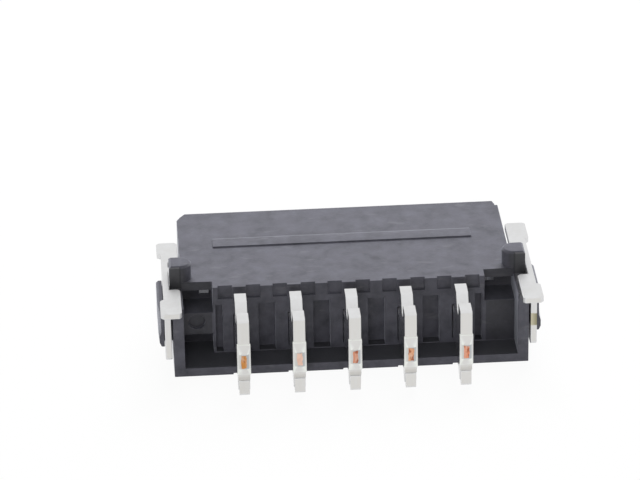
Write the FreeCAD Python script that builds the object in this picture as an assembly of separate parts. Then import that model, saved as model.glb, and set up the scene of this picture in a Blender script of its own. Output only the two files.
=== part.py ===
import FreeCAD, Part
import math
import os

# Right-angle surface-mount board connector, lying on its flat face with the solder side up.
# All sizes are in millimetres. X runs along the row of contacts, +Y points to the mating mouth,
# +Z points to the circuit board. The origin is on the resting face, below the middle contact,
# in the plane of the rear wall that the contacts come out of.

os.makedirs("parts", exist_ok=True)
Vec = FreeCAD.Vector

# Row of contacts
contact_count = 5
pitch = 2.54

# Housing, outer sizes
body_height = 3.8
body_front = 7.86
body_end_margin = 2.62
frame_rear = 1.44
frame_wall = 0.5
frame_front = 2.6
frame_floor = 0.42
edge_break = 0.06
heel_notch_width = 0.8
heel_notch_height = 0.07
heel_notch_depth = 0.3

# Housing, mating end
mouth_step_depth = 0.45
mouth_step_width = 0.14
mouth_corner_right_x = 0.1
mouth_corner_right_y = 0.38
mouth_corner_left_x = 0.3
mouth_corner_left_y = 0.42
mouth_slant_left = 0.28
cavity_back = 1.8
cavity_wall = 0.5
cavity_side_wall = 0.6
cavity_lead = 0.25

# Housing, end bays
block_end_margin = 1.22
shelf_rear = 0.66
shelf_thickness = 0.43
bay_depth = 1.5
bar_drop = 1.28
bay_window_offset = 0.14
bay_window_width = 0.44
bay_window_rise = 0.2
bay_window_wall = 0.15
undercut_top = 1.42
undercut_depth = 1.2
mark_radius = 0.38
mark_depth = 0.2
mark_drop = 0.45
mark_offset = 0.76

# Housing, pockets in the rear wall
pocket_width = 0.78
pocket_depth = 0.5
pocket_bottom = 0.46
pocket_drop = 0.9
end_pocket_width = 0.34
end_pocket_wall = 0.11

# Housing, reliefs in the board edge of the rear wall, a pair beside each contact
relief_width = 0.66
relief_height = 0.6
relief_depth = 0.18
relief_offset = 0.65

# Housing, stand-off rib on the board side
rib_end_margin = 1.02
rib_rear = 4.08
rib_width = 0.95
rib_height = 0.07
rib_ramp = 0.12

# Housing, locating pegs
peg_height = 0.82
peg_depth = 1.1
peg_centre_offset = 0.06
peg_overhang = 0.06
peg_chamfer = 0.1

# Board plane, shared by every soldered foot
foot_stand_off = 0.08

# Contacts, blanked from sheet and lying in the Y-Z plane
contact_thickness = 0.55
slot_clearance = 0.02
tail_reach = 3.64
tail_front = 0.76
foot_length_rear = 0.94
foot_length_front = 0.9
foot_notch_depth = 0.7
foot_notch_lean = 0.45
foot_corner = 0.09
notch_corner = 0.2
stem_bottom = 0.69
stem_top = 2.32
heel_bottom = 0.05
heel_top = 0.84
heel_length = 0.85
heel_sweep = 0.55
heel_thickness = 0.48
heel_corner = 0.16
heel_shoulder = 0.06
heel_coin_depth = 0.45
neck_top = 1.12
neck_depth = 0.08
neck_corner = 0.03
tie_base_bottom = 1.18
tie_base_top = 2.7
tie_face_bottom = 1.5
tie_face_top = 2.27
tie_face_width = 0.34
tie_bulge = 0.035
tie_height = 0.14
tie_ledge = 0.03
barb_height = 0.05
barb_length = 0.4
pin_height = 0.64
pin_reach = 6.9
pin_point = 0.6
pin_tip = 0.3

# Solder clips at the two ends
clip_thickness = 0.3
clip_clearance = 0.08
clip_head_thickness = 0.3
clip_head_inner = 0.49
clip_head_outer = 0.18
clip_head_rear = 2.54
clip_head_rear_length = 2.42
clip_lobe_length = 1.45
clip_far_start = 2.7
clip_far_lobe_start = 3.55
clip_far_end_left = 4.68
clip_far_end_right = 5.2
clip_web_height = 0.88
clip_leg_width = 0.9
clip_leg_bottom = 0.85
clip_front_leg_bottom = 1.3
clip_leg_taper = 0.15
clip_gusset = 0.4
clip_corner = 0.12

# Ears that trap the clips
ear_clearance = 0.02
ear_thickness = 0.26
ear_rear_thickness = 0.14
ear_bulge_thickness = 0.23
ear_top_chamfer = 0.1
ear_bottom = 1.3
ear_height = 1.8
ear_bulge_top = 0.75
ear_bulge_middle = 0.5
ear_foot = 0.2
ear_rear = 0.84
ear_taper = 1.0
ear_front = 2.36
bridge_rise = 0.12
bridge_clearance = 0.06

# Sizes that follow from the ones above
row_half = (contact_count - 1) * pitch / 2
body_half = row_half + body_end_margin
block_half = row_half + block_end_margin
frame_half = body_half + frame_wall
cavity_half = body_half - cavity_side_wall
cavity_top = body_height - cavity_wall
board_plane = body_height + foot_stand_off
shelf_bottom = body_height - shelf_thickness
pin_axis = (cavity_wall + cavity_top) / 2
slot_bottom = stem_bottom - barb_height
slot_top = stem_top + barb_height
clip_inner = frame_half + clip_clearance
clip_outer = clip_inner + clip_thickness
ear_inner = clip_outer + ear_clearance
clip_rear_leg_front = clip_leg_width - frame_rear
clip_web_bottom = board_plane - clip_web_height
clip_head_under = board_plane - clip_head_thickness
frame_wall_top = clip_head_under - clip_clearance
bar_top = body_height - bar_drop
pocket_top = body_height - pocket_drop
clip_front_leg_rear = ear_front - (clip_rear_leg_front + ear_rear)
overcut = 1.0
overlap = 0.1
tolerance = 0.005
barb_gap = barb_length / 2


def box(x0, x1, y0, y1, z0, z1):
    """A block between two corners."""
    return Part.makeBox(x1 - x0, y1 - y0, z1 - z0, Vec(x0, y0, z0))


def side_profile(points, x0, x1):
    """Extrude an outline given as (y, z) points along X, from x0 to x1."""
    corners = [Vec(x0, y, z) for y, z in points]
    face = Part.Face(Part.makePolygon(corners + corners[:1]))
    return face.extrude(Vec(x1 - x0, 0, 0))


def rounded_profile(corners, x0, x1):
    """Extrude an outline along X; each corner is (y, z, radius), and a radius makes a true arc."""
    ring = [(Vec(x0, y, z), radius) for y, z, radius in corners]
    starts = []
    ends = []
    arcs = []
    for index, (corner, radius) in enumerate(ring):
        before = (ring[index - 1][0] - corner).normalize()
        after = (ring[(index + 1) % len(ring)][0] - corner).normalize()
        if radius == 0:
            starts.append(corner)
            ends.append(corner)
            arcs.append(None)
            continue
        half_angle = before.getAngle(after) / 2
        reach = radius / math.tan(half_angle)
        bisector = (before + after).normalize()
        middle = corner + bisector * (radius / math.sin(half_angle) - radius)
        starts.append(corner + before * reach)
        ends.append(corner + after * reach)
        arcs.append(Part.Arc(starts[-1], middle, ends[-1]).toShape())
    edges = []
    for index, arc in enumerate(arcs):
        if arc:
            edges.append(arc)
        edges.append(Part.makeLine(ends[index], starts[(index + 1) % len(ring)]))
    return Part.Face(Part.Wire(edges)).extrude(Vec(x1 - x0, 0, 0))


def plan_profile(points, z0, z1):
    """Extrude an outline given as (x, y) points along Z, from z0 to z1."""
    corners = [Vec(x, y, z0) for x, y in points]
    face = Part.Face(Part.makePolygon(corners + corners[:1]))
    return face.extrude(Vec(0, 0, z1 - z0))


def mirrored(shape):
    """The same shape at the other end of the connector."""
    return shape.mirror(Vec(0, 0, 0), Vec(1, 0, 0))


def both_ends(shape):
    """A feature of the +X end and its copy at the -X end."""
    return [shape, mirrored(shape)]


def contact_positions():
    """X of each contact, from the -X end of the row."""
    return [index * pitch - row_half for index in range(contact_count)]


def edges_along(shape, axis, test):
    """Straight edges parallel to an axis whose middle passes a test."""
    chosen = []
    for edge in shape.Edges:
        if len(edge.Vertexes) < 2:
            continue
        span = edge.Vertexes[-1].Point - edge.Vertexes[0].Point
        straight = abs(span.dot(axis)) > 0.999 * edge.Length
        if straight and test(edge.CenterOfMass):
            chosen.append(edge)
    return chosen


def body_shell():
    """Shroud with its stepped mating end, and the wider frame round the contacts."""
    neck_half = body_half - mouth_step_width
    step_y = body_front - mouth_step_depth
    outline = [
        (frame_half, -frame_rear),
        (frame_half, frame_front),
        (body_half, frame_front),
        (body_half, step_y),
        (neck_half, step_y),
        (neck_half, body_front - mouth_corner_right_y),
        (neck_half - mouth_corner_right_x, body_front),
        (mouth_corner_left_x - neck_half, body_front),
        (-neck_half, body_front - mouth_corner_left_y),
        (-neck_half, step_y),
        (-body_half, step_y - mouth_slant_left),
        (-body_half, frame_front),
        (-frame_half, frame_front),
        (-frame_half, -frame_rear),
    ]
    shell = plan_profile(outline, 0, body_height)
    long_edges = edges_along(shell, Vec(1, 0, 0), lambda p: p.z > body_height / 2 and p.y > frame_front)
    return shell.makeChamfer(edge_break, long_edges)


def mating_cavity():
    """The hollow that takes the mating connector, with a lead-in round its mouth."""
    hollow = box(-cavity_half, cavity_half, cavity_back, body_front + overcut, cavity_wall, cavity_top)
    rims = []
    for y, grow in ((body_front - cavity_lead, 0), (body_front, cavity_lead)):
        rim = [
            Vec(-cavity_half - grow, y, cavity_wall - grow),
            Vec(cavity_half + grow, y, cavity_wall - grow),
            Vec(cavity_half + grow, y, cavity_top + grow),
            Vec(-cavity_half - grow, y, cavity_top + grow),
        ]
        rims.append(Part.makePolygon(rim + rim[:1]))
    lead_in = Part.makeLoft(rims, True, True)
    return hollow.fuse(lead_in)


def heel_notch(x):
    """Shallow relief in the lower rear edge of the floor, beside one contact's heel."""
    half = heel_notch_width / 2
    return box(x - half, x + half, -frame_rear - overcut, heel_notch_depth - frame_rear,
               -overcut, heel_notch_height)


def rear_recess():
    """Open space behind the rear wall, between the side walls and above the floor."""
    above = body_height + overcut
    clear = box(-body_half, body_half, -frame_rear - overcut, 0, frame_floor, above)
    low_wall = box(body_half - overlap, frame_half + overcut, -frame_rear - overcut, shelf_rear,
                   frame_wall_top, above)
    return [clear] + both_ends(low_wall)


def end_bay():
    """Pocket at the +X end: open above the cross bar, with a window into the shroud."""
    open_top = box(block_half, body_half, -overcut, shelf_rear, bar_top, body_height + overcut)
    pocket = box(block_half, body_half, -overcut, bay_depth, bar_top, shelf_bottom)
    window_side = block_half + bay_window_offset
    window_sill = bar_top + bay_window_rise
    window = box(window_side, window_side + bay_window_width, bay_depth - overlap, cavity_back + overlap,
                 window_sill, cavity_top)
    thinning = box(block_half, cavity_half, bay_depth + bay_window_wall, cavity_back + overlap,
                   bar_top, cavity_top)
    return open_top.multiFuse([pocket, window, thinning])


def bar_undercut():
    """Deep recess below the cross bar of the -X end."""
    return box(-body_half, -block_half, -overcut, undercut_depth, frame_floor, undercut_top)


def bar_mark():
    """Round ejector mark, sunk into the cross bar of the -X end."""
    centre = Vec(-(block_half + mark_offset), -overcut, bar_top - mark_drop)
    return Part.makeCylinder(mark_radius, overcut + mark_depth, centre, Vec(0, 1, 0))


def wall_pockets():
    """Pockets in the rear wall, midway between the contacts, and a half pocket at each end."""
    pockets = []
    for index in range(contact_count - 1):
        middle = index * pitch - row_half + pitch / 2
        pockets.append(box(middle - pocket_width / 2, middle + pocket_width / 2, -overcut, pocket_depth,
                           pocket_bottom, pocket_top))
    outer = block_half - end_pocket_wall
    half_pocket = box(outer - end_pocket_width, outer, -overcut, pocket_depth, pocket_bottom, pocket_top)
    return pockets + both_ends(half_pocket)


def contact_slot(x):
    """Slot through the rear wall for one contact's stem."""
    half = contact_thickness / 2 + slot_clearance
    return box(x - half, x + half, -overcut, cavity_back + overcut, slot_bottom, slot_top)


def edge_reliefs(x):
    """Pair of shallow reliefs in the board edge of the rear wall, beside one contact."""
    half = relief_width / 2
    cuts = []
    for middle in (x - relief_offset, x + relief_offset):
        cuts.append(box(middle - half, middle + half, -overcut, relief_depth,
                        body_height - relief_height, body_height + overcut))
    return cuts


def stand_off_rib():
    """Long low rib on the board face, stepped at the rear and ramped at the front."""
    half = row_half + rib_end_margin
    top = body_height + rib_height
    front = rib_rear + rib_width
    profile = [(rib_rear, body_height - rib_height), (rib_rear, top), (front - rib_ramp, top),
               (front, body_height), (front, body_height - rib_height)]
    return side_profile(profile, -half, half)


def locating_peg():
    """Peg at the +X end: square towards the outside, round towards the middle."""
    radius = peg_depth / 2
    centre = body_half + peg_centre_offset
    base = frame_wall_top
    top = body_height + peg_height
    outer = frame_half + peg_overhang
    front = shelf_rear + peg_depth
    rear_point = Vec(centre, shelf_rear, base)
    round_point = Vec(centre - radius, shelf_rear + radius, base)
    front_point = Vec(centre, front, base)
    half_circle = Part.Arc(front_point, round_point, rear_point).toShape()
    outer_rear = Vec(outer, shelf_rear, base)
    outer_front = Vec(outer, front, base)
    block_side = Part.makePolygon([rear_point, outer_rear, outer_front, front_point])
    outline = Part.Wire([half_circle] + block_side.Edges)
    peg = Part.Face(outline).extrude(Vec(0, 0, top - base))
    rim = [edge for edge in peg.Edges if abs(edge.BoundBox.ZMin - top) < tolerance]
    return peg.makeChamfer(peg_chamfer, rim)


def ear_section(y, upper, bulge):
    """Outline of the ear in one X-Z plane: its thickness above and at the bulge."""
    top = ear_bottom + ear_height
    points = [
        (ear_inner, ear_bottom),
        (ear_inner, top),
        (ear_inner + upper - ear_top_chamfer, top),
        (ear_inner + upper, top - ear_top_chamfer),
        (ear_inner + upper, ear_bottom + ear_bulge_top),
        (ear_inner + bulge, ear_bottom + ear_bulge_middle),
        (ear_inner + bulge, ear_bottom + ear_foot),
        (ear_inner + ear_rear_thickness, ear_bottom),
    ]
    corners = [Vec(x, y, z) for x, z in points]
    return Part.makePolygon(corners + corners[:1])


def clip_ear():
    """Ear at the +X end: a plate that thins to the rear, on a bridge that the clip sits on."""
    sections = [
        ear_section(-ear_rear, ear_rear_thickness, ear_bulge_thickness),
        ear_section(ear_taper - ear_rear, ear_thickness, ear_thickness),
        ear_section(ear_front, ear_thickness, ear_thickness),
    ]
    plate = Part.makeLoft(sections, True, True)
    bridge = box(frame_half - overlap, ear_inner + ear_clearance,
                 clip_rear_leg_front + bridge_clearance, clip_front_leg_rear - bridge_clearance,
                 ear_bottom + bridge_rise, clip_web_bottom)
    return plate.fuse(bridge)


def make_housing():
    """The moulded insulator, one solid."""
    housing = body_shell()
    additions = [stand_off_rib()]
    additions += both_ends(locating_peg())
    additions += both_ends(clip_ear())
    cuts = [mating_cavity(), bar_undercut(), bar_mark()]
    cuts += rear_recess()
    cuts += both_ends(end_bay())
    cuts += wall_pockets()
    cuts += [contact_slot(x) for x in contact_positions()]
    cuts += [heel_notch(x) for x in contact_positions()]
    for x in contact_positions():
        cuts += edge_reliefs(x)
    housing = housing.cut(cuts)
    housing = housing.multiFuse(additions)
    return housing.removeSplitter()


def tail_corners():
    """Side outline of a contact's tail and stem, as (y, z, corner radius)."""
    rear = -tail_reach
    rear_foot_front = rear + foot_length_rear
    front_foot_rear = -tail_front - foot_length_front
    notch_floor = board_plane - foot_notch_depth
    return [
        (rear, neck_top, neck_corner),
        (rear, board_plane, foot_corner),
        (rear_foot_front, board_plane, foot_corner),
        (rear_foot_front, notch_floor, notch_corner),
        (front_foot_rear - foot_notch_lean, notch_floor, notch_corner),
        (front_foot_rear, board_plane, foot_corner),
        (-tail_front, board_plane, foot_corner),
        (-tail_front, stem_top, foot_corner),
        (cavity_back, stem_top, 0),
        (cavity_back, stem_bottom, 0),
        (rear + heel_length + heel_sweep, stem_bottom, 0),
        (rear + heel_length, heel_top, 0),
        (rear + neck_depth, heel_top, 0),
        (rear + neck_depth, neck_top, neck_corner),
    ]


def barb(y, z, direction):
    """Retention barb that bites into the slot's end: a small saw tooth on the stem."""
    return [(y, z), (y + barb_length, z), (y, z + direction * barb_height)]


def heel(x):
    """Heel below the tail, coined thinner at its rear edge, with a swept underside."""
    rear = -tail_reach
    coin_end = rear + heel_coin_depth
    sweep_end = rear + heel_length + heel_sweep
    root = heel_top + overlap
    underside = (heel_bottom + stem_bottom) / 2
    coined = [
        (rear, heel_bottom, heel_corner),
        (coin_end, heel_bottom, 0),
        (coin_end, root, 0),
        (rear + neck_depth, root, 0),
        (rear + neck_depth, heel_top, 0),
        (rear, heel_top, heel_shoulder),
    ]
    full = [
        (coin_end, heel_bottom + heel_corner, 0),
        (rear + heel_length, underside, 0),
        (sweep_end, stem_bottom, 0),
        (sweep_end, root, 0),
        (coin_end - overlap, root, 0),
        (coin_end - overlap, heel_bottom + heel_corner, 0),
    ]
    half = heel_thickness / 2
    wide = contact_thickness / 2
    return rounded_profile(coined, x - half, x + half).fuse(rounded_profile(full, x - wide, x + wide))


def carrier_tie(x):
    """Bevelled stub left where the contact was broken off its carrier strip."""
    sections = []
    wide = contact_thickness / 2 + tie_bulge
    for y, half, low, high in (
        (tie_height - tail_reach, wide, tie_base_bottom, tie_base_top),
        (-tail_reach - tie_ledge, wide, tie_base_bottom, tie_base_top),
        (-tail_reach - tie_height, tie_face_width / 2, tie_face_bottom, tie_face_top),
    ):
        ring = [Vec(x - half, y, low), Vec(x + half, y, low), Vec(x + half, y, high), Vec(x - half, y, high)]
        sections.append(Part.makePolygon(ring + ring[:1]))
    return Part.makeLoft(sections, True, True)


def contact_pin(x):
    """Square pin inside the shroud, with a tapered point."""
    half_width = contact_thickness / 2
    half_height = pin_height / 2
    shank_end = pin_reach - pin_point
    shank = box(x - half_width, x + half_width, cavity_back - foot_corner, shank_end,
                pin_axis - half_height, pin_axis + half_height)
    sections = []
    for y, w, h in ((shank_end, half_width, half_height), (pin_reach, pin_tip / 2, pin_tip / 2)):
        ring = [Vec(x - w, y, pin_axis - h), Vec(x + w, y, pin_axis - h),
                Vec(x + w, y, pin_axis + h), Vec(x - w, y, pin_axis + h)]
        sections.append(Part.makePolygon(ring + ring[:1]))
    return shank.fuse(Part.makeLoft(sections, True, True))


def make_contact(x):
    """One contact: two solder feet, heel, carrier tie, barbed stem and pin."""
    half = contact_thickness / 2
    plate = rounded_profile(tail_corners(), x - half, x + half)
    front_barb = cavity_back - barb_length - barb_gap
    rear_barb = front_barb - barb_length - barb_gap
    pieces = [heel(x), carrier_tie(x), contact_pin(x)]
    for y in (rear_barb, front_barb):
        pieces.append(side_profile(barb(y, stem_top, 1), x - half, x + half))
        pieces.append(side_profile(barb(y, stem_bottom, -1), x - half, x + half))
    return plate.multiFuse(pieces).removeSplitter()


def clip_plate(far_end):
    """Upright plate of the +X clip: a web with a rear leg and a shorter front leg."""
    rear = -frame_rear
    front_leg_front = clip_front_leg_rear + clip_leg_width
    profile = [
        (-clip_head_rear, board_plane),
        (-clip_head_rear, clip_head_under),
        (rear - clip_gusset / 2, clip_head_under),
        (rear, clip_head_under - clip_gusset),
        (rear, clip_leg_bottom + clip_leg_taper),
        (rear + clip_leg_taper, clip_leg_bottom),
        (clip_rear_leg_front - clip_leg_taper, clip_leg_bottom),
        (clip_rear_leg_front, clip_leg_bottom + clip_leg_taper),
        (clip_rear_leg_front, clip_web_bottom),
        (clip_front_leg_rear, clip_web_bottom),
        (clip_front_leg_rear, clip_front_leg_bottom + clip_leg_taper),
        (clip_front_leg_rear + clip_leg_taper, clip_front_leg_bottom),
        (front_leg_front - clip_leg_taper, clip_front_leg_bottom),
        (front_leg_front, clip_front_leg_bottom + clip_leg_taper),
        (front_leg_front, clip_head_under - clip_gusset),
        (front_leg_front + clip_gusset / 2, clip_head_under),
        (far_end, clip_head_under),
        (far_end, board_plane),
    ]
    return side_profile(profile, clip_inner, clip_outer)


def clip_head(inner_rear, inner_front, outer_rear, outer_front):
    """Flat T-shaped solder head in the board plane: a long inner half and a shorter outer lobe."""
    inner = clip_inner - clip_head_inner
    outer = clip_outer + clip_head_outer
    cut = clip_corner
    inner_half = [
        (inner, inner_rear + cut),
        (inner + cut, inner_rear),
        (clip_outer, inner_rear),
        (clip_outer, inner_front),
        (inner + cut, inner_front),
        (inner, inner_front - cut),
    ]
    outer_lobe = [
        (clip_inner, outer_rear),
        (outer - cut, outer_rear),
        (outer, outer_rear + cut),
        (outer, outer_front - cut),
        (outer - cut, outer_front),
        (clip_inner, outer_front),
    ]
    inner_part = plan_profile(inner_half, clip_head_under, board_plane)
    return inner_part.fuse(plan_profile(outer_lobe, clip_head_under, board_plane))


def make_clip(far_end):
    """Solder clip of the +X end: the plate with a head at each end."""
    rear = -clip_head_rear
    near_head = clip_head(rear, rear + clip_head_rear_length, rear, rear + clip_lobe_length)
    far_head = clip_head(clip_far_start, far_end, clip_far_lobe_start, far_end)
    return clip_plate(far_end).multiFuse([near_head, far_head]).removeSplitter()


make_housing().exportStep("parts/housing.step")
for number, position in enumerate(contact_positions(), 1):
    make_contact(position).exportStep(f"parts/contact_{number}.step")
make_clip(clip_far_end_right).exportStep("parts/solder_clip_right.step")
mirrored(make_clip(clip_far_end_left)).exportStep("parts/solder_clip_left.step")
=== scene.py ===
import bmesh
import bpy
import math
from mathutils import Matrix, Vector


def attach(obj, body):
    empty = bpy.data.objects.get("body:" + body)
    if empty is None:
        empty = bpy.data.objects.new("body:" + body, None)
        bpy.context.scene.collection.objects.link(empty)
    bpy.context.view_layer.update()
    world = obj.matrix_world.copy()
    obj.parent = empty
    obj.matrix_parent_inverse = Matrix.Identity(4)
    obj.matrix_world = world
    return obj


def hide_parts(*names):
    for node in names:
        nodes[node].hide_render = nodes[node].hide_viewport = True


# Board connector with five contacts: its finishes, softened edges, camera and studio.
# Lengths and places are in millimetres, and MM turns them into metres. Noise is in patches
# per millimetre, and colours are linear red, green and blue.

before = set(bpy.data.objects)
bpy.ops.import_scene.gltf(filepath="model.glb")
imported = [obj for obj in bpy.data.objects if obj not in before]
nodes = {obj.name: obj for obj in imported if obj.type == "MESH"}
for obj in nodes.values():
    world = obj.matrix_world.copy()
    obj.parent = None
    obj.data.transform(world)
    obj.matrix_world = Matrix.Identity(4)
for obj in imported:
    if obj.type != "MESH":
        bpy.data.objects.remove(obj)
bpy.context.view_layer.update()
scene = bpy.context.scene
MM = 0.001

CONTACT_COUNT = 5
PITCH = 2.54
ROW_START = -(CONTACT_COUNT - 1) * PITCH / 2

# Softened edges
HOUSING_EDGE = 0.022
CONTACT_EDGE = 0.014
CLIP_EDGE = 0.045
EDGE_SEGMENTS = 3
SHARP_ANGLE = math.radians(40)
FLAT_ANGLE = math.radians(1)
MERGE_DISTANCE = 0.0005

# How squarely a face looks along an axis, at no effect and at the full one, and the part of
# a noise's range that is spread over 0 to 1
FACING = (0.8, 0.95)
NOISE_SPAN = (0.35, 0.65)

# Plastic all over the housing
PLASTIC_GRAINS = 11.0
PLASTIC_PATCHES = 1.4
PLASTIC_DARK = (0.034, 0.034, 0.044)
PLASTIC_PALE = (0.106, 0.107, 0.131)
PLASTIC_ROUGHNESS = (0.5, 0.53)
PLASTIC_RELIEF = 0.012
PLASTIC_RELIEF_STRENGTH = 0.55
SHEEN_WEIGHT = 0.3
SHEEN_ROUGHNESS = 0.45
SHEEN_TINT = (0.85, 0.88, 1.0)
FLOW_PATCHES = 1.5
FLOW_STRETCH = (0.9, 1.0, 1.0)
FLOW_COLOUR = (0.082, 0.079, 0.102)
FLOW_SHARE = 0.5
FLOW_SMOOTHNESS = 0.02
SCUFFS = 2.6
SCUFF_SHARE = 0.45
SCUFF_COLOUR = (0.14, 0.14, 0.158)

# Painted highlight along the far edge of the stand-off rib
RIB_EDGE = (4.83, 5.01)
RIB_HALF = 6.08
RIB_FOOT = 3.84
RIB_HIGHLIGHT_RANGE = (0.5, 0.9)
RIB_HIGHLIGHT_COLOUR = (0.21, 0.21, 0.24)

# Back of each locating peg: painted light on the square half, and painted shade in a line
# # where the round half starts
PEG_SEAM_SIDE = 7.76
PEG_SEAM_HALF = 0.05
PEG_SEAM_SHADE_SHARE = 0.6
PEG_SEAM_SHADE_COLOUR = (0.012, 0.012, 0.015)
PEG_REAR = 0.72
PEG_FOOT = 3.3
PEG_SQUARE_LIGHT_SHARE = 0.5
PEG_SQUARE_LIGHT_COLOUR = (0.17, 0.17, 0.17)

# Painted shade on the recess floor, and on the backs and outer side walls of the end bays
SHADE_FLOOR_TOP = 0.8
SHADE_BAY_SIDE = 6.36
SHADE_BAY_BACK = -0.3
SHADE_WALL_SIDE = 5.0
SHADE_WALL_TOP = 3.0
SHADE_WALL_REAR = -1.35
SHADE_BACK_SHARE = 0.7
SHADE_WALL_SHARE = 0.6
RECESS_SHADE_SHARE = 0.85
RECESS_SHADE_COLOUR = (0.012, 0.012, 0.014)

# Tin plate of contacts and clips; roughnesses are those of rolled faces and cut edges
TIN_GRAINS = 16.0
TIN_PATCHES = 2.2
TIN_STREAKS = 6.0
TIN_STREAK_STRETCH = (1.6, 0.25, 0.25)
TIN_STREAK_RELIEF = 0.5
TIN_ROLLED_FACING = (0.8, 0.97)
TIN_CUT_FACING = (0.965, 0.995)
TIN_CUT_AND_SHADE_SHARE = (0.75, 1.0)
TIN_UNEVENNESS = (-0.03, 0.05)
TIN_DARK = (0.70, 0.70, 0.698)
TIN_PALE = (0.765, 0.768, 0.775)
TIN_CUT_AND_SHADE_COLOUR = (0.71, 0.70, 0.675)
TIN_RELIEF = 0.005
TIN_RELIEF_STRENGTH = 0.5
CONTACT_ROUGHNESS = (0.2, 0.42)
CLIP_ROUGHNESS = (0.35, 0.42)
MARK_WOBBLE = 0.04
MARK_WOBBLE_PATCHES = 5.0
MARK_BLUR = 0.03

# Carrier tie of each contact: painted highlights on the slopes round a flat, grey end
TIE_FACE = -3.76
TIE_SINK = 0.022
TIE_FLAT = TIE_FACE + TIE_SINK
TIE_END = (1.52, 2.24)
TIE_END_HALF = 0.2
TIE_END_BLUR = 0.06
TIE_END_DEPTH = (0.05, 0.03)
TIE_END_SHARE = 0.85
TIE_END_LEFT = (0.60, 0.59, 0.56)
TIE_END_RIGHT = (0.40, 0.42, 0.44)
TIE_MIDDLE = 1.95
TIE_REACH = 0.8
TIE_SLOPE_DEPTH = (0.25, 0.21)
TIE_SLOPE_FACING = (0.985, 0.97)
TIE_SLOPE_HIGHLIGHT_COLOUR = (0.86, 0.88, 0.84)

# Painted shade in the groove below each contact's tie
NECK_SHADE_MIDDLE = 0.93
NECK_SHADE_REACH = 0.14
NECK_SHADE_SHARE = 0.3
NECK_SHADE_COLOUR = (0.40, 0.38, 0.34)

# Painted brownish shade and reflection in a band on the rear leg of the right clip
BAND = (1.86, 2.49)
BAND_REAR = -1.40
BAND_REAR_BLUR = 0.05
BAND_SIDES = (8.28, 8.6)
BAND_PALE = (0.62, 0.58, 0.44)
BAND_DARK = (0.24, 0.22, 0.13)

# Copper break that the carrier strip left on each tie
BREAK_WIDTH = 0.25
BREAK_HEIGHT = 0.62
BREAK_DEPTH = 0.06
BREAK_MIDDLE = 1.88
BREAK_FACE = -3.771
BREAK_GRID = (9, 3, 19)
BREAK_UNEVENNESS = 0.014
BREAK_SPREAD = (10.0, 1.0, 12.0)
BREAK_PATCHES = 4.6
BREAK_SEED = 3.0
COPPER_TINTS = [
    (0.66, 0.29, 0.08),
    (0.90, 0.61, 0.49),
    (0.72, 0.30, 0.18),
    (0.82, 0.43, 0.25),
    (0.84, 0.33, 0.19),
]
COPPER_STREAKS = 5.0
COPPER_STREAK_STRETCH = (1.0, 1.0, 0.3)
COPPER_STREAK_SPAN = (0.5, 0.68)
COPPER_STREAK_SHARE = 0.6
COPPER_STREAK_COLOUR = (0.78, 0.62, 0.52)
COPPER_SPOTS = 4.2
COPPER_SPOT_STRETCH = (1.6, 1.0, 0.8)
COPPER_SPOT_SPAN = (0.5, 0.38)
COPPER_SPOT_SHARE = 0.8
COPPER_SPOT_COLOUR = (0.34, 0.08, 0.03)
CLEAN_CONTACT = 1
CLEAN_SPOT_SHARE = 0.12

# Camera: the picture's size, focal length, scale and target are in pixels
PICTURE = (640, 480)
AZIMUTH = -4.04
ELEVATION = 28.0
ROLL = -0.71
FOCAL_PX = 3900.0
SCALE_PX = 21.72
TARGET_PX = (351.65, 330.9)
TARGET = Vector((0, -1.44, 2.0)) * MM
SENSOR_WIDTH = 36

# Studio, in metres and watts. The gap keeps the floor out of the resting face's plane.
FLOOR_GAP = 0.01 * MM
FLOOR_HALF = 0.6
FLOOR_COLOUR = (0.85, 0.85, 0.85)
FLOOR_GLOW = 0.95
WORLD_LIGHT = 0.2
KEY_LAMP = {"place": (0.05, 0.27, 0.25), "size": 0.26, "power": 2.35}
FILL_LAMP = {"place": (-0.06, -0.4, 0.065), "size": 0.12, "power": 0.36}


def add_object(name, data):
    thing = bpy.data.objects.new(name, data)
    scene.collection.objects.link(thing)
    return thing


def give(tree, value, socket):
    """Feed a socket from another socket, or set it to a number, vector or colour."""
    if isinstance(value, bpy.types.NodeSocket):
        tree.links.new(value, socket)
    elif socket.type == "RGBA":
        socket.default_value = (*value, 1)
    else:
        socket.default_value = value


def new_material(name):
    material = bpy.data.materials.new(name)
    material.use_nodes = True
    tree = material.node_tree
    return material, tree, tree.nodes["Principled BSDF"]


def new_group(name, inputs, outputs):
    """A shader node group of float sockets, with a starting value for each input."""
    group = bpy.data.node_groups.new(name, "ShaderNodeTree")
    for label, value in inputs.items():
        socket = group.interface.new_socket(name=label, in_out="INPUT", socket_type="NodeSocketFloat")
        socket.default_value = value
    for label in outputs:
        group.interface.new_socket(name=label, in_out="OUTPUT", socket_type="NodeSocketFloat")
    return group, group.nodes.new("NodeGroupInput").outputs, group.nodes.new("NodeGroupOutput").inputs


def place_group(tree, group, values):
    """One use of a group in a material, with its own values."""
    node = tree.nodes.new("ShaderNodeGroup")
    node.node_tree = group
    for label, value in values.items():
        give(tree, value, node.inputs[label])
    return node.outputs


def math_node(tree, operation, first, second=None):
    node = tree.nodes.new("ShaderNodeMath")
    node.operation = operation
    give(tree, first, node.inputs[0])
    if second is not None:
        give(tree, second, node.inputs[1])
    return node.outputs[0]


def product(tree, first, *factors):
    for factor in factors:
        first = math_node(tree, "MULTIPLY", first, factor)
    return first


def magnitude(tree, value):
    """The value without its sign."""
    return math_node(tree, "ABSOLUTE", value)


def distance(tree, value, middle):
    return magnitude(tree, math_node(tree, "SUBTRACT", value, middle))


def below(tree, value, limit):
    return math_node(tree, "LESS_THAN", value, limit)


def above(tree, value, limit):
    return math_node(tree, "GREATER_THAN", value, limit)


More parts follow.
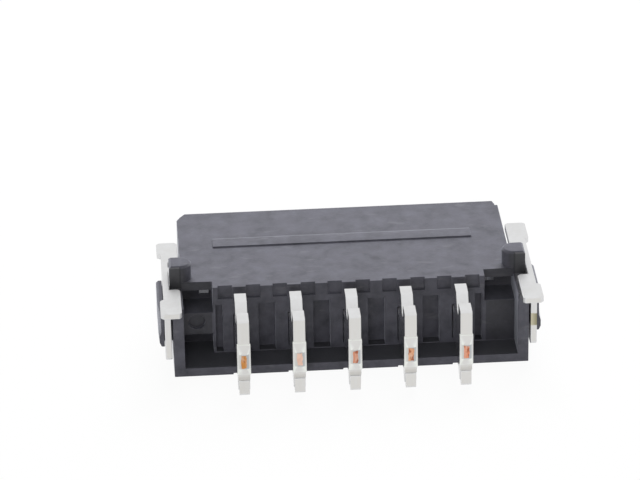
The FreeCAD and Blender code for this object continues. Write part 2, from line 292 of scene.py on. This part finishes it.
def fade(tree, value, start, end, first=0.0, last=1.0):
    """From first, where the value is at start, to last, where it is at end, and flat beyond."""
    node = tree.nodes.new("ShaderNodeMapRange")
    node.inputs["From Min"].default_value = start
    node.inputs["From Max"].default_value = end
    node.inputs["To Min"].default_value = first
    node.inputs["To Max"].default_value = last
    give(tree, value, node.inputs["Value"])
    return node.outputs["Result"]


def between(tree, value, low, high):
    """1 from low to high and 0 elsewhere, with blurred ends."""
    return product(tree, fade(tree, value, low - MARK_BLUR, low + MARK_BLUR),
                   fade(tree, value, high + MARK_BLUR, high - MARK_BLUR))


def mix(tree, kind, factor, first, second):
    """A mix of two values; kind is Float or Color."""
    node = tree.nodes.new("ShaderNodeMix")
    node.data_type = "RGBA" if kind == "Color" else "FLOAT"
    sockets = {socket.identifier: socket for socket in node.inputs}
    give(tree, factor, sockets["Factor_Float"])
    give(tree, first, sockets[f"A_{kind}"])
    give(tree, second, sockets[f"B_{kind}"])
    return next(socket for socket in node.outputs if socket.identifier == f"Result_{kind}")


def tint(tree, mask, share, base, colour):
    """The base colour, changed by a share towards another one where the mask is 1."""
    return mix(tree, "Color", product(tree, mask, share), base, colour)


def noise_node(tree, coordinates, patches, detail=3.0, roughness=0.5, stretch=None):
    """Noise in patches per millimetre; a low stretch lengthens it along that axis."""
    if stretch:
        mapping = tree.nodes.new("ShaderNodeMapping")
        mapping.inputs["Scale"].default_value = stretch
        give(tree, coordinates, mapping.inputs["Vector"])
        coordinates = mapping.outputs[0]
    noise = tree.nodes.new("ShaderNodeTexNoise")
    noise.inputs["Detail"].default_value = detail
    noise.inputs["Roughness"].default_value = roughness
    give(tree, coordinates, noise.inputs["Vector"])
    give(tree, math_node(tree, "DIVIDE", patches, MM), noise.inputs["Scale"])
    return noise.outputs["Fac"]


def object_place(tree):
    return tree.nodes.new("ShaderNodeTexCoord").outputs["Object"]


def parts(tree, vector):
    node = tree.nodes.new("ShaderNodeSeparateXYZ")
    give(tree, vector, node.inputs[0])
    return list(node.outputs)


def surface(tree):
    """The object coordinates, the same as x, y and z in millimetres, and the normal's three parts."""
    coordinates = tree.nodes.new("ShaderNodeTexCoord").outputs
    place = [math_node(tree, "DIVIDE", part, MM) for part in parts(tree, coordinates["Object"])]
    return coordinates["Object"], place, parts(tree, coordinates["Normal"])


def bump(tree, shader, height, relief, strength):
    node = tree.nodes.new("ShaderNodeBump")
    node.inputs["Strength"].default_value = strength
    node.inputs["Distance"].default_value = relief * MM
    give(tree, height, node.inputs["Height"])
    give(tree, node.outputs["Normal"], shader.inputs["Normal"])


def make_grain_group():
    """Fine surface grain: a height for bump and a soft mottling value, both about 0 to 1."""
    group, entry, out = new_group(
        "surface_grain", {"Grains per mm": 9.0, "Patches per mm": 1.2}, ["Height", "Mottling"])
    place = object_place(group)
    fine = noise_node(group, place, entry["Grains per mm"], detail=4.0, roughness=0.6)
    broad = noise_node(group, place, entry["Patches per mm"], detail=5.0, roughness=0.62)
    give(group, fine, out["Height"])
    give(group, fade(group, broad, 0.3, 0.7), out["Mottling"])
    return group


def make_marks_group():
    """Thin stray marks, such as handling scuffs: the amount on a mark and 0 elsewhere."""
    group, entry, out = new_group("stray_marks", {"Marks per mm": 2.0, "Amount": 0.5}, ["Mask"])
    lines = noise_node(group, object_place(group), entry["Marks per mm"], detail=2.0,
                       stretch=(0.35, 1.0, 1.0))
    give(group, product(group, fade(group, lines, 0.63, 0.72), entry["Amount"]), out["Mask"])
    return group


GRAIN = make_grain_group()
MARKS = make_marks_group()


def rib_highlight(tree, place, flow):
    """Mask of the painted highlight along the rib's far edge, stronger where the flow marks are."""
    x, y, z = place
    middle = sum(RIB_EDGE) / 2
    reach = RIB_EDGE[1] - middle
    line = fade(tree, distance(tree, y, middle), reach, reach / 2)
    on_rib = product(tree, below(tree, magnitude(tree, x), RIB_HALF), above(tree, z, RIB_FOOT))
    return product(tree, line, on_rib, fade(tree, flow, 0, 1, *RIB_HIGHLIGHT_RANGE))


def peg_back(tree, place):
    """Masks of painted light on the pegs' square halves and painted shade along their seams, on the backs."""
    x, y, z = place
    aside = magnitude(tree, x)
    back = product(tree, below(tree, y, PEG_REAR), above(tree, z, PEG_FOOT))
    lit_square_half = product(tree, back, above(tree, aside, PEG_SEAM_SIDE))
    seam_shade = fade(tree, distance(tree, aside, PEG_SEAM_SIDE), PEG_SEAM_HALF, PEG_SEAM_HALF * 0.4)
    return lit_square_half, product(tree, seam_shade, back)


def painted_recess_shade(tree, place, normal):
    """Mask of the painted shade on the recess floor and on the end bays' backs and outer side walls."""
    x, y, z = place
    facing_x, facing_y, facing_z = normal
    recess_floor = product(tree, fade(tree, facing_z, *FACING), below(tree, z, SHADE_FLOOR_TOP))
    rearward = fade(tree, product(tree, facing_y, -1), *FACING)
    bay_back = product(tree, rearward, above(tree, y, SHADE_BAY_BACK),
                       above(tree, magnitude(tree, x), SHADE_BAY_SIDE), SHADE_BACK_SHARE)
    inward = below(tree, product(tree, x, facing_x), -SHADE_WALL_SIDE)
    bay_wall = product(tree, inward, below(tree, z, SHADE_WALL_TOP), above(tree, y, SHADE_WALL_REAR),
                       SHADE_WALL_SHARE)
    return math_node(tree, "MAXIMUM", recess_floor, math_node(tree, "MAXIMUM", bay_back, bay_wall))


def moulded_plastic():
    """Dark bluish grey glass-filled plastic: mottled, with flow marks, scuffs, a fine grain, and painted
    light and shade.
    """
    material, tree, shader = new_material("moulded_plastic")
    coordinates, place, normal = surface(tree)
    grain = place_group(tree, GRAIN, {"Grains per mm": PLASTIC_GRAINS, "Patches per mm": PLASTIC_PATCHES})
    marks = place_group(tree, MARKS, {"Marks per mm": SCUFFS, "Amount": SCUFF_SHARE})
    flow = noise_node(tree, coordinates, FLOW_PATCHES, detail=6.0, roughness=0.62,
                      stretch=FLOW_STRETCH)
    flow = fade(tree, flow, *NOISE_SPAN)
    lit_square_half, seam_shade = peg_back(tree, place)
    base = mix(tree, "Color", grain["Mottling"], PLASTIC_DARK, PLASTIC_PALE)
    base = tint(tree, flow, FLOW_SHARE, base, FLOW_COLOUR)
    base = mix(tree, "Color", marks["Mask"], base, SCUFF_COLOUR)
    # Painted highlight along the rib's far edge.
    base = mix(tree, "Color", rib_highlight(tree, place, flow), base, RIB_HIGHLIGHT_COLOUR)
    # Painted light on each peg's square half, then painted shade along its seam.
    base = tint(tree, lit_square_half, PEG_SQUARE_LIGHT_SHARE, base, PEG_SQUARE_LIGHT_COLOUR)
    base = tint(tree, seam_shade, PEG_SEAM_SHADE_SHARE, base, PEG_SEAM_SHADE_COLOUR)
    # Painted shade darkens the recess floor and the end bays' backs and outer side walls.
    base = tint(tree, painted_recess_shade(tree, place, normal), RECESS_SHADE_SHARE, base, RECESS_SHADE_COLOUR)
    give(tree, base, shader.inputs["Base Color"])
    rough = fade(tree, grain["Mottling"], 0, 1, *PLASTIC_ROUGHNESS)
    rough = math_node(tree, "SUBTRACT", rough, product(tree, flow, FLOW_SMOOTHNESS))
    give(tree, rough, shader.inputs["Roughness"])
    give(tree, SHEEN_WEIGHT, shader.inputs["Sheen Weight"])
    give(tree, SHEEN_ROUGHNESS, shader.inputs["Sheen Roughness"])
    give(tree, SHEEN_TINT, shader.inputs["Sheen Tint"])
    bump(tree, shader, grain["Height"], PLASTIC_RELIEF, PLASTIC_RELIEF_STRENGTH)
    return material


def tie_marks(tree, base, place, height, normal):
    """Painted highlights on the slopes round the carrier tie, and its flat end, pressed grey and darker to
    the right.
    """
    x, y, _ = place
    depth = math_node(tree, "SUBTRACT", y, TIE_FLAT)
    outer = fade(tree, depth, *TIE_SLOPE_DEPTH)
    sloping = fade(tree, magnitude(tree, normal[1]), *TIE_SLOPE_FACING)
    zone = below(tree, distance(tree, height, TIE_MIDDLE), TIE_REACH)
    # Painted highlight on the tie's sloping faces.
    base = mix(tree, "Color", product(tree, outer, sloping, zone), base, TIE_SLOPE_HIGHLIGHT_COLOUR)
    turns = math_node(tree, "ADD", math_node(tree, "DIVIDE", x, PITCH), 0.5)
    across = math_node(tree, "SUBTRACT", math_node(tree, "FRACT", turns), 0.5)
    across = product(tree, across, PITCH)
    sides = fade(tree, magnitude(tree, across), TIE_END_HALF + TIE_END_BLUR, TIE_END_HALF)
    flat = fade(tree, depth, *TIE_END_DEPTH)
    grey = mix(tree, "Color", fade(tree, across, -TIE_END_HALF, TIE_END_HALF), TIE_END_LEFT,
               TIE_END_RIGHT)
    return tint(tree, product(tree, sides, between(tree, height, *TIE_END), flat), TIE_END_SHARE,
                base, grey)


def contact_marks(tree, base, place, height, normal):
    """The tie's marks, and painted shade in the groove below the tie."""
    base = tie_marks(tree, base, place, height, normal)
    # Painted shade in the groove below the tie.
    away = distance(tree, height, NECK_SHADE_MIDDLE)
    neck_shade = fade(tree, away, NECK_SHADE_REACH * 0.3, NECK_SHADE_REACH, NECK_SHADE_SHARE, 0.0)
    return mix(tree, "Color", neck_shade, base, NECK_SHADE_COLOUR)


def leg_shade_band(tree, base, place, height, normal):
    """Painted brownish shade and reflection in a band on the right clip's rear leg, darker to the outside."""
    x, y, _ = place
    behind = fade(tree, y, BAND_REAR + BAND_REAR_BLUR, BAND_REAR)
    # Painted shade and reflection across the band on the clip's rear leg.
    band_shade = mix(tree, "Color", fade(tree, x, *BAND_SIDES), BAND_PALE, BAND_DARK)
    return mix(tree, "Color", product(tree, between(tree, height, *BAND), behind), base, band_shade)


def tin_plate(name, roughness, marks=None):
    """Matt tin plate: smooth rolled faces, and duller, finely streaked cut edges whose colour is partly
    painted shade.
    """
    material, tree, shader = new_material(name)
    shader.inputs["Metallic"].default_value = 1.0
    coordinates, place, normal = surface(tree)
    grain = place_group(tree, GRAIN, {"Grains per mm": TIN_GRAINS, "Patches per mm": TIN_PATCHES})
    streaks = noise_node(tree, coordinates, TIN_STREAKS, detail=2.0, stretch=TIN_STREAK_STRETCH)
    streaks = fade(tree, streaks, *NOISE_SPAN)
    cut = fade(tree, magnitude(tree, normal[1]), *TIN_CUT_FACING)
    cut = product(tree, cut, fade(tree, streaks, 0, 1, *TIN_CUT_AND_SHADE_SHARE))
    base = mix(tree, "Color", grain["Mottling"], TIN_DARK, TIN_PALE)
    # Cut edges take a slightly darker colour: partly a duller finish, partly painted shade.
    base = mix(tree, "Color", cut, base, TIN_CUT_AND_SHADE_COLOUR)
    if marks:
        wobble = noise_node(tree, coordinates, MARK_WOBBLE_PATCHES)
        wobble = fade(tree, wobble, 0, 1, -MARK_WOBBLE, MARK_WOBBLE)
        base = marks(tree, base, place, math_node(tree, "ADD", place[2], wobble), normal)
    give(tree, base, shader.inputs["Base Color"])
    rolled, edge = roughness
    flatness = fade(tree, magnitude(tree, normal[0]), *TIN_ROLLED_FACING)
    rough = mix(tree, "Float", flatness, edge, rolled)
    rough = math_node(tree, "ADD", rough, fade(tree, grain["Mottling"], 0, 1, *TIN_UNEVENNESS))
    give(tree, rough, shader.inputs["Roughness"])
    height = math_node(tree, "ADD", grain["Height"], product(tree, streaks, TIN_STREAK_RELIEF))
    bump(tree, shader, height, TIN_RELIEF, TIN_RELIEF_STRENGTH)
    return material


def broken_copper():
    """Bare copper alloy of the carrier break: each contact's break has tarnished differently."""
    material, tree, shader = new_material("broken_copper")
    shader.inputs["Metallic"].default_value = 0.6
    shader.inputs["Roughness"].default_value = 0.5
    attribute = tree.nodes.new("ShaderNodeAttribute")
    attribute.attribute_name = "contact_index"
    index = attribute.outputs["Fac"]
    ramp = tree.nodes.new("ShaderNodeValToRGB")
    ramp.color_ramp.interpolation = "CONSTANT"
    stops = ramp.color_ramp.elements
    while len(stops) < len(COPPER_TINTS):
        stops.new(0.5)
    for number, (stop, colour) in enumerate(zip(stops, COPPER_TINTS)):
        stop.position = number / len(COPPER_TINTS)
        stop.color = (*colour, 1)
    middle = math_node(tree, "ADD", index, 0.5)
    give(tree, math_node(tree, "DIVIDE", middle, len(COPPER_TINTS)), ramp.inputs["Fac"])
    place = object_place(tree)
    streaks = noise_node(tree, place, COPPER_STREAKS, detail=3.0, stretch=COPPER_STREAK_STRETCH)
    streaks = fade(tree, streaks, *COPPER_STREAK_SPAN)
    spots = noise_node(tree, place, COPPER_SPOTS, detail=4.0, stretch=COPPER_SPOT_STRETCH)
    spots = fade(tree, spots, *COPPER_SPOT_SPAN)
    clean = below(tree, distance(tree, index, CLEAN_CONTACT), 0.5)
    spots = product(tree, spots, fade(tree, clean, 0, 1, 1.0, CLEAN_SPOT_SHARE))
    base = tint(tree, streaks, COPPER_STREAK_SHARE, ramp.outputs["Color"], COPPER_STREAK_COLOUR)
    base = tint(tree, spots, COPPER_SPOT_SHARE, base, COPPER_SPOT_COLOUR)
    give(tree, base, shader.inputs["Base Color"])
    return material


def bake(draft, name):
    """The mesh that a draft object's modifiers make, with the draft itself removed."""
    evaluated = draft.evaluated_get(bpy.context.evaluated_depsgraph_get())
    mesh = bpy.data.meshes.new_from_object(evaluated)
    mesh.name = name
    bpy.data.objects.remove(draft)
    return mesh


def sink_tie(mesh):
    """Lower the flat end of a carrier tie, so that the broken metal stands a little proud of it."""
    for vertex in mesh.vertices:
        if vertex.co.y < TIE_FACE * MM:
            vertex.co.y += TIE_SINK * MM


def softened(node, width, material, adjust=None):
    """A copy of a solid's mesh with its sharp edges rounded, in place of the plain one."""
    cleaner = bmesh.new()
    cleaner.from_mesh(node.data)
    bmesh.ops.remove_doubles(cleaner, verts=cleaner.verts, dist=MERGE_DISTANCE * MM)
    bmesh.ops.dissolve_limit(cleaner, angle_limit=FLAT_ANGLE, verts=cleaner.verts, edges=cleaner.edges)
    mesh = bpy.data.meshes.new("draft")
    cleaner.to_mesh(mesh)
    cleaner.free()
    mesh.materials.append(material)
    if adjust:
        adjust(mesh)
    for polygon in mesh.polygons:
        polygon.use_smooth = True
    mesh.set_sharp_from_angle(angle=SHARP_ANGLE)
    draft = add_object("draft", mesh)
    bevel = draft.modifiers.new("edge", "BEVEL")
    bevel.width = width * MM
    bevel.segments = EDGE_SEGMENTS
    bevel.limit_method = "ANGLE"
    bevel.angle_limit = SHARP_ANGLE
    bevel.use_clamp_overlap = False
    evening = draft.modifiers.new("shading", "WEIGHTED_NORMAL")
    evening.keep_sharp = True
    evening.weight = 100
    piece = add_object(node.name + "_soft", bake(draft, node.name + "_soft"))
    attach(piece, "root")
    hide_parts(node.name)


def vector_node(tree, x, y, z):
    node = tree.nodes.new("ShaderNodeCombineXYZ")
    for socket, value in zip(node.inputs, (x, y, z)):
        give(tree, value, socket)
    return node.outputs[0]


def vector_math(tree, operation, first, second):
    """Vector maths; the second value is a vector, or the scale where the operation is SCALE."""
    node = tree.nodes.new("ShaderNodeVectorMath")
    node.operation = operation
    give(tree, first, node.inputs[0])
    give(tree, second, node.inputs["Scale"] if operation == "SCALE" else node.inputs[1])
    return node.outputs[0]


def breaks_tree(material):
    """Geometry nodes that repeat one rough slab along the row; returns the inputs' values too."""
    tree = bpy.data.node_groups.new("carrier_breaks", "GeometryNodeTree")
    tree.interface.new_socket(name="Geometry", in_out="OUTPUT", socket_type="NodeSocketGeometry")
    values = {}
    for label, kind, value in (
        ("Contacts", "NodeSocketInt", CONTACT_COUNT),
        ("Pitch", "NodeSocketFloat", PITCH * MM),
        ("Row start", "NodeSocketFloat", ROW_START * MM),
        ("Width", "NodeSocketFloat", BREAK_WIDTH * MM),
        ("Height", "NodeSocketFloat", BREAK_HEIGHT * MM),
        ("Depth", "NodeSocketFloat", BREAK_DEPTH * MM),
        ("Unevenness", "NodeSocketFloat", BREAK_UNEVENNESS * MM),
        ("Seed", "NodeSocketFloat", BREAK_SEED),
    ):
        socket = tree.interface.new_socket(name=label, in_out="INPUT", socket_type=kind)
        values[socket.identifier] = value
    entry = tree.nodes.new("NodeGroupInput").outputs
    out = tree.nodes.new("NodeGroupOutput")

    row = tree.nodes.new("GeometryNodeMeshLine")
    give(tree, entry["Contacts"], row.inputs["Count"])
    start = vector_node(tree, entry["Row start"], (BREAK_FACE + BREAK_DEPTH / 2) * MM, BREAK_MIDDLE * MM)
    give(tree, start, row.inputs["Start Location"])
    give(tree, vector_node(tree, entry["Pitch"], 0, 0), row.inputs["Offset"])
    label = tree.nodes.new("GeometryNodeStoreNamedAttribute")
    label.data_type = "FLOAT"
    label.domain = "POINT"
    label.inputs["Name"].default_value = "contact_index"
    give(tree, row.outputs["Mesh"], label.inputs["Geometry"])
    give(tree, tree.nodes.new("GeometryNodeInputIndex").outputs[0], label.inputs["Value"])

    slab = tree.nodes.new("GeometryNodeMeshCube")
    give(tree, vector_node(tree, entry["Width"], entry["Depth"], entry["Height"]), slab.inputs["Size"])
    for axis, count in zip("XYZ", BREAK_GRID):
        slab.inputs[f"Vertices {axis}"].default_value = count
    spread = tree.nodes.new("GeometryNodeInstanceOnPoints")
    give(tree, label.outputs["Geometry"], spread.inputs["Points"])
    give(tree, slab.outputs["Mesh"], spread.inputs["Instance"])
    real = tree.nodes.new("GeometryNodeRealizeInstances")
    give(tree, spread.outputs["Instances"], real.inputs["Geometry"])

    rough = tree.nodes.new("ShaderNodeTexNoise")
    rough.noise_dimensions = "4D"
    rough.inputs["Scale"].default_value = BREAK_PATCHES / MM
    give(tree, entry["Seed"], rough.inputs["W"])
    give(tree, tree.nodes.new("GeometryNodeInputPosition").outputs[0], rough.inputs["Vector"])
    shift = vector_math(tree, "SUBTRACT", rough.outputs["Color"], (0.5, 0.5, 0.5))
    shift = vector_math(tree, "MULTIPLY", shift, BREAK_SPREAD)
    shift = vector_math(tree, "SCALE", shift, entry["Unevenness"])
    move = tree.nodes.new("GeometryNodeSetPosition")
    give(tree, real.outputs["Geometry"], move.inputs["Geometry"])
    give(tree, shift, move.inputs["Offset"])
    paint = tree.nodes.new("GeometryNodeSetMaterial")
    paint.inputs["Material"].default_value = material
    give(tree, move.outputs["Geometry"], paint.inputs["Geometry"])
    give(tree, paint.outputs["Geometry"], out.inputs["Geometry"])
    return tree, values


def carrier_breaks(material):
    """Rough little break on the tie of every contact."""
    draft = add_object("draft", bpy.data.meshes.new("draft"))
    modifier = draft.modifiers.new("breaks", "NODES")
    modifier.node_group, values = breaks_tree(material)
    for identifier, value in values.items():
        modifier[identifier] = value
    piece = add_object("carrier_breaks", bake(draft, "carrier_breaks"))
    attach(piece, "root")


def add_camera():
    azimuth, elevation, roll = (math.radians(angle) for angle in (AZIMUTH, ELEVATION, ROLL))
    back = Vector((math.sin(azimuth) * math.cos(elevation),
                   -math.cos(azimuth) * math.cos(elevation), math.sin(elevation)))
    level = Vector((math.cos(azimuth), math.sin(azimuth), 0))
    upright = back.cross(level)
    right = math.cos(roll) * level + math.sin(roll) * upright
    up = -math.sin(roll) * level + math.cos(roll) * upright
    offset = Vector(TARGET_PX) - Vector(PICTURE) / 2
    forward = (-back * FOCAL_PX - right * offset.x + up * offset.y).normalized()
    aim_right = forward.cross(up).normalized()
    aim_up = aim_right.cross(forward)
    camera = add_object("camera", bpy.data.cameras.new("camera"))
    camera.data.sensor_width = SENSOR_WIDTH
    camera.data.lens = FOCAL_PX * SENSOR_WIDTH / PICTURE[0]
    camera.data.clip_start = 0.01
    camera.data.clip_end = 10
    place = Matrix((aim_right, aim_up, -forward)).transposed().to_4x4()
    place.translation = TARGET + back * (FOCAL_PX / SCALE_PX) * MM
    camera.matrix_world = place
    scene.camera = camera


def seen_directly(tree):
    """1 for camera, mirror and glass rays, 0 for light that falls on the object."""
    path = tree.nodes.new("ShaderNodeLightPath").outputs
    either = math_node(tree, "MAXIMUM", path["Is Camera Ray"], path["Is Glossy Ray"])
    return math_node(tree, "MAXIMUM", either, path["Is Transmission Ray"])


def blend_shaders(tree, factor, first, second):
    node = tree.nodes.new("ShaderNodeMixShader")
    for socket, value in zip(node.inputs, (factor, first, second)):
        give(tree, value, socket)
    return node.outputs[0]


def add_floor():
    """White floor that keeps a soft shadow, and lets a camera below it see the object."""
    material, tree, shader = new_material("floor_white")
    give(tree, FLOOR_COLOUR, shader.inputs["Base Color"])
    shader.inputs["Roughness"].default_value = 0.9
    shader.inputs["Specular IOR Level"].default_value = 0.0
    glow = tree.nodes.new("ShaderNodeEmission")
    glow.inputs["Strength"].default_value = 1.0
    share = product(tree, seen_directly(tree), FLOOR_GLOW)
    upper = blend_shaders(tree, share, shader.outputs[0], glow.outputs[0])
    from_below = tree.nodes.new("ShaderNodeNewGeometry").outputs["Backfacing"]
    clear = tree.nodes.new("ShaderNodeBsdfTransparent").outputs[0]
    give(tree, blend_shaders(tree, from_below, upper, clear), tree.nodes["Material Output"].inputs["Surface"])
    mesh = bpy.data.meshes.new("floor")
    ends = (-FLOOR_HALF, FLOOR_HALF)
    mesh.from_pydata([(x, y, -FLOOR_GAP) for y in ends for x in ends], [], [(0, 1, 3, 2)])
    mesh.materials.append(material)
    add_object("floor", mesh)


def add_lamp(name, place, size, power):
    """Square lamp that points at the object and isn't mirrored in it."""
    light = bpy.data.lights.new(name, "AREA")
    light.shape = "SQUARE"
    light.size = size
    light.energy = power
    lamp = add_object(name, light)
    lamp.location = place
    lamp.rotation_mode = "QUATERNION"
    lamp.rotation_quaternion = Vector(place).to_track_quat("Z", "Y")
    lamp.visible_glossy = False


def add_world():
    """Weak even light, and plain white where the world is seen directly."""
    scene.world = bpy.data.worlds.new("studio")
    scene.world.use_nodes = True
    tree = scene.world.node_tree
    background = tree.nodes["Background"].inputs
    background["Color"].default_value = (1, 1, 1, 1)
    give(tree, fade(tree, seen_directly(tree), 0, 1, WORLD_LIGHT, 1.0), background["Strength"])


contact_finish = tin_plate("contact_tin_plate", CONTACT_ROUGHNESS, contact_marks)
softened(nodes["housing"], HOUSING_EDGE, moulded_plastic())
for number in range(1, CONTACT_COUNT + 1):
    softened(nodes[f"contact_{number}"], CONTACT_EDGE, contact_finish, sink_tie)
softened(nodes["solder_clip_left"], CLIP_EDGE, tin_plate("clip_tin_plate", CLIP_ROUGHNESS))
softened(nodes["solder_clip_right"], CLIP_EDGE,
         tin_plate("clip_tin_plate_band_shade", CLIP_ROUGHNESS, leg_shade_band))
carrier_breaks(broken_copper())

add_camera()
add_floor()
add_world()
add_lamp("key", **KEY_LAMP)
add_lamp("fill", **FILL_LAMP)
scene.view_settings.view_transform = "Standard"
